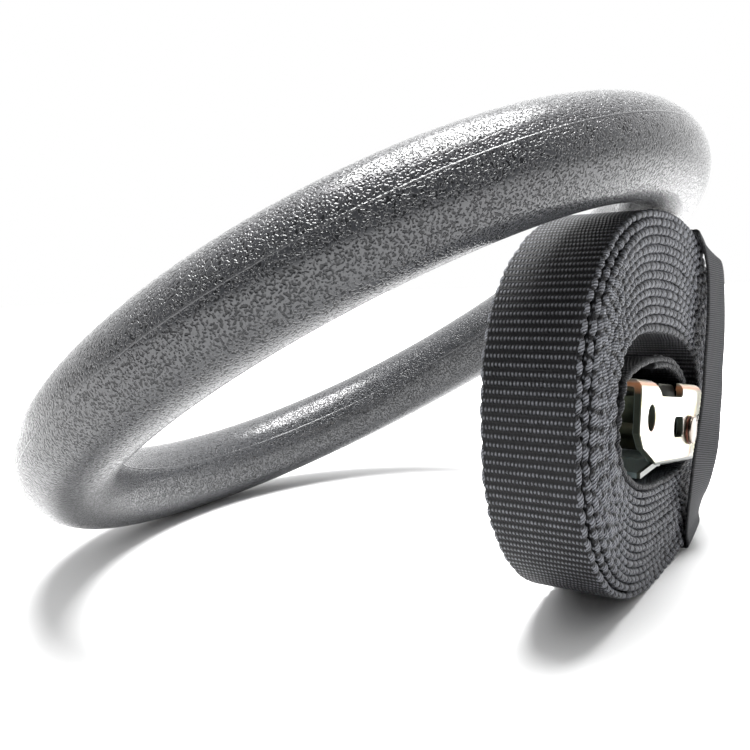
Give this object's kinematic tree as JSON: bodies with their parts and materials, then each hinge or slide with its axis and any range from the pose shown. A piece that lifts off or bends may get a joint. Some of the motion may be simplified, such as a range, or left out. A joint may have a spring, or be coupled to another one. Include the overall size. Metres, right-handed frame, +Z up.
{
  "type": "gymnastic ring with rolled strap",
  "caption": "Moulded plastic gymnastic ring that leans on its own webbing strap, which is rolled round a cam buckle and held by an elastic band.",
  "frame": {"origin": "on the floor under the middle of the ring's bounding box, which is also under the ring's centre", "axes": "+X along the roll's long axis and across the ring, +Z up, and the open face of the roll that shows the buckle looks along -Y"},
  "size_m": [0.235, 0.2058, 0.1335],
  "materials": {
    "ring_plastic": "moulded ABS with a fine wrinkled grain",
    "webbing": "black woven polyester webbing",
    "thread": "bonded sewing thread",
    "zinc_plate": "pressed sheet steel, bright zinc plated",
    "cast_zinc": "die-cast zinc, passivated",
    "rivet_steel": "zinc plated steel",
    "spring_steel": "drawn spring wire",
    "elastic_tape": "ribbed elastic tape"
  },
  "bodies": {
    "strap_roll": {"strap_webbing": "webbing", "loop_stitching": "thread", "buckle_frame": "zinc_plate", "cam_axle": "rivet_steel", "axle_washer_front": "rivet_steel", "axle_washer_back": "rivet_steel", "loop_bar": "rivet_steel", "cam_spring": "spring_steel", "keeper_band": "elastic_tape"},
    "cam_lever": {"cam_lever": "cast_zinc"},
    "ring": {"ring_lower_shell": "ring_plastic", "ring_upper_shell": "ring_plastic"}
  },
  "joints": [
    {"name": "cam_press", "type": "hinge", "parent": "strap_roll", "child": "cam_lever", "pos_m": [0.0242, -0.0796, 0.04033], "axis": [0, -1, 0], "range_deg": [0, 25], "stiffness_Nm_per_rad": 0.06, "springref_deg": -20.05, "deforming": ["cam_spring"]},
    {"name": "ring_lift", "type": "slide", "parent": "strap_roll", "child": "ring", "axis": [0, 0, 1], "range_m": [0, 0.15]}
  ]
}
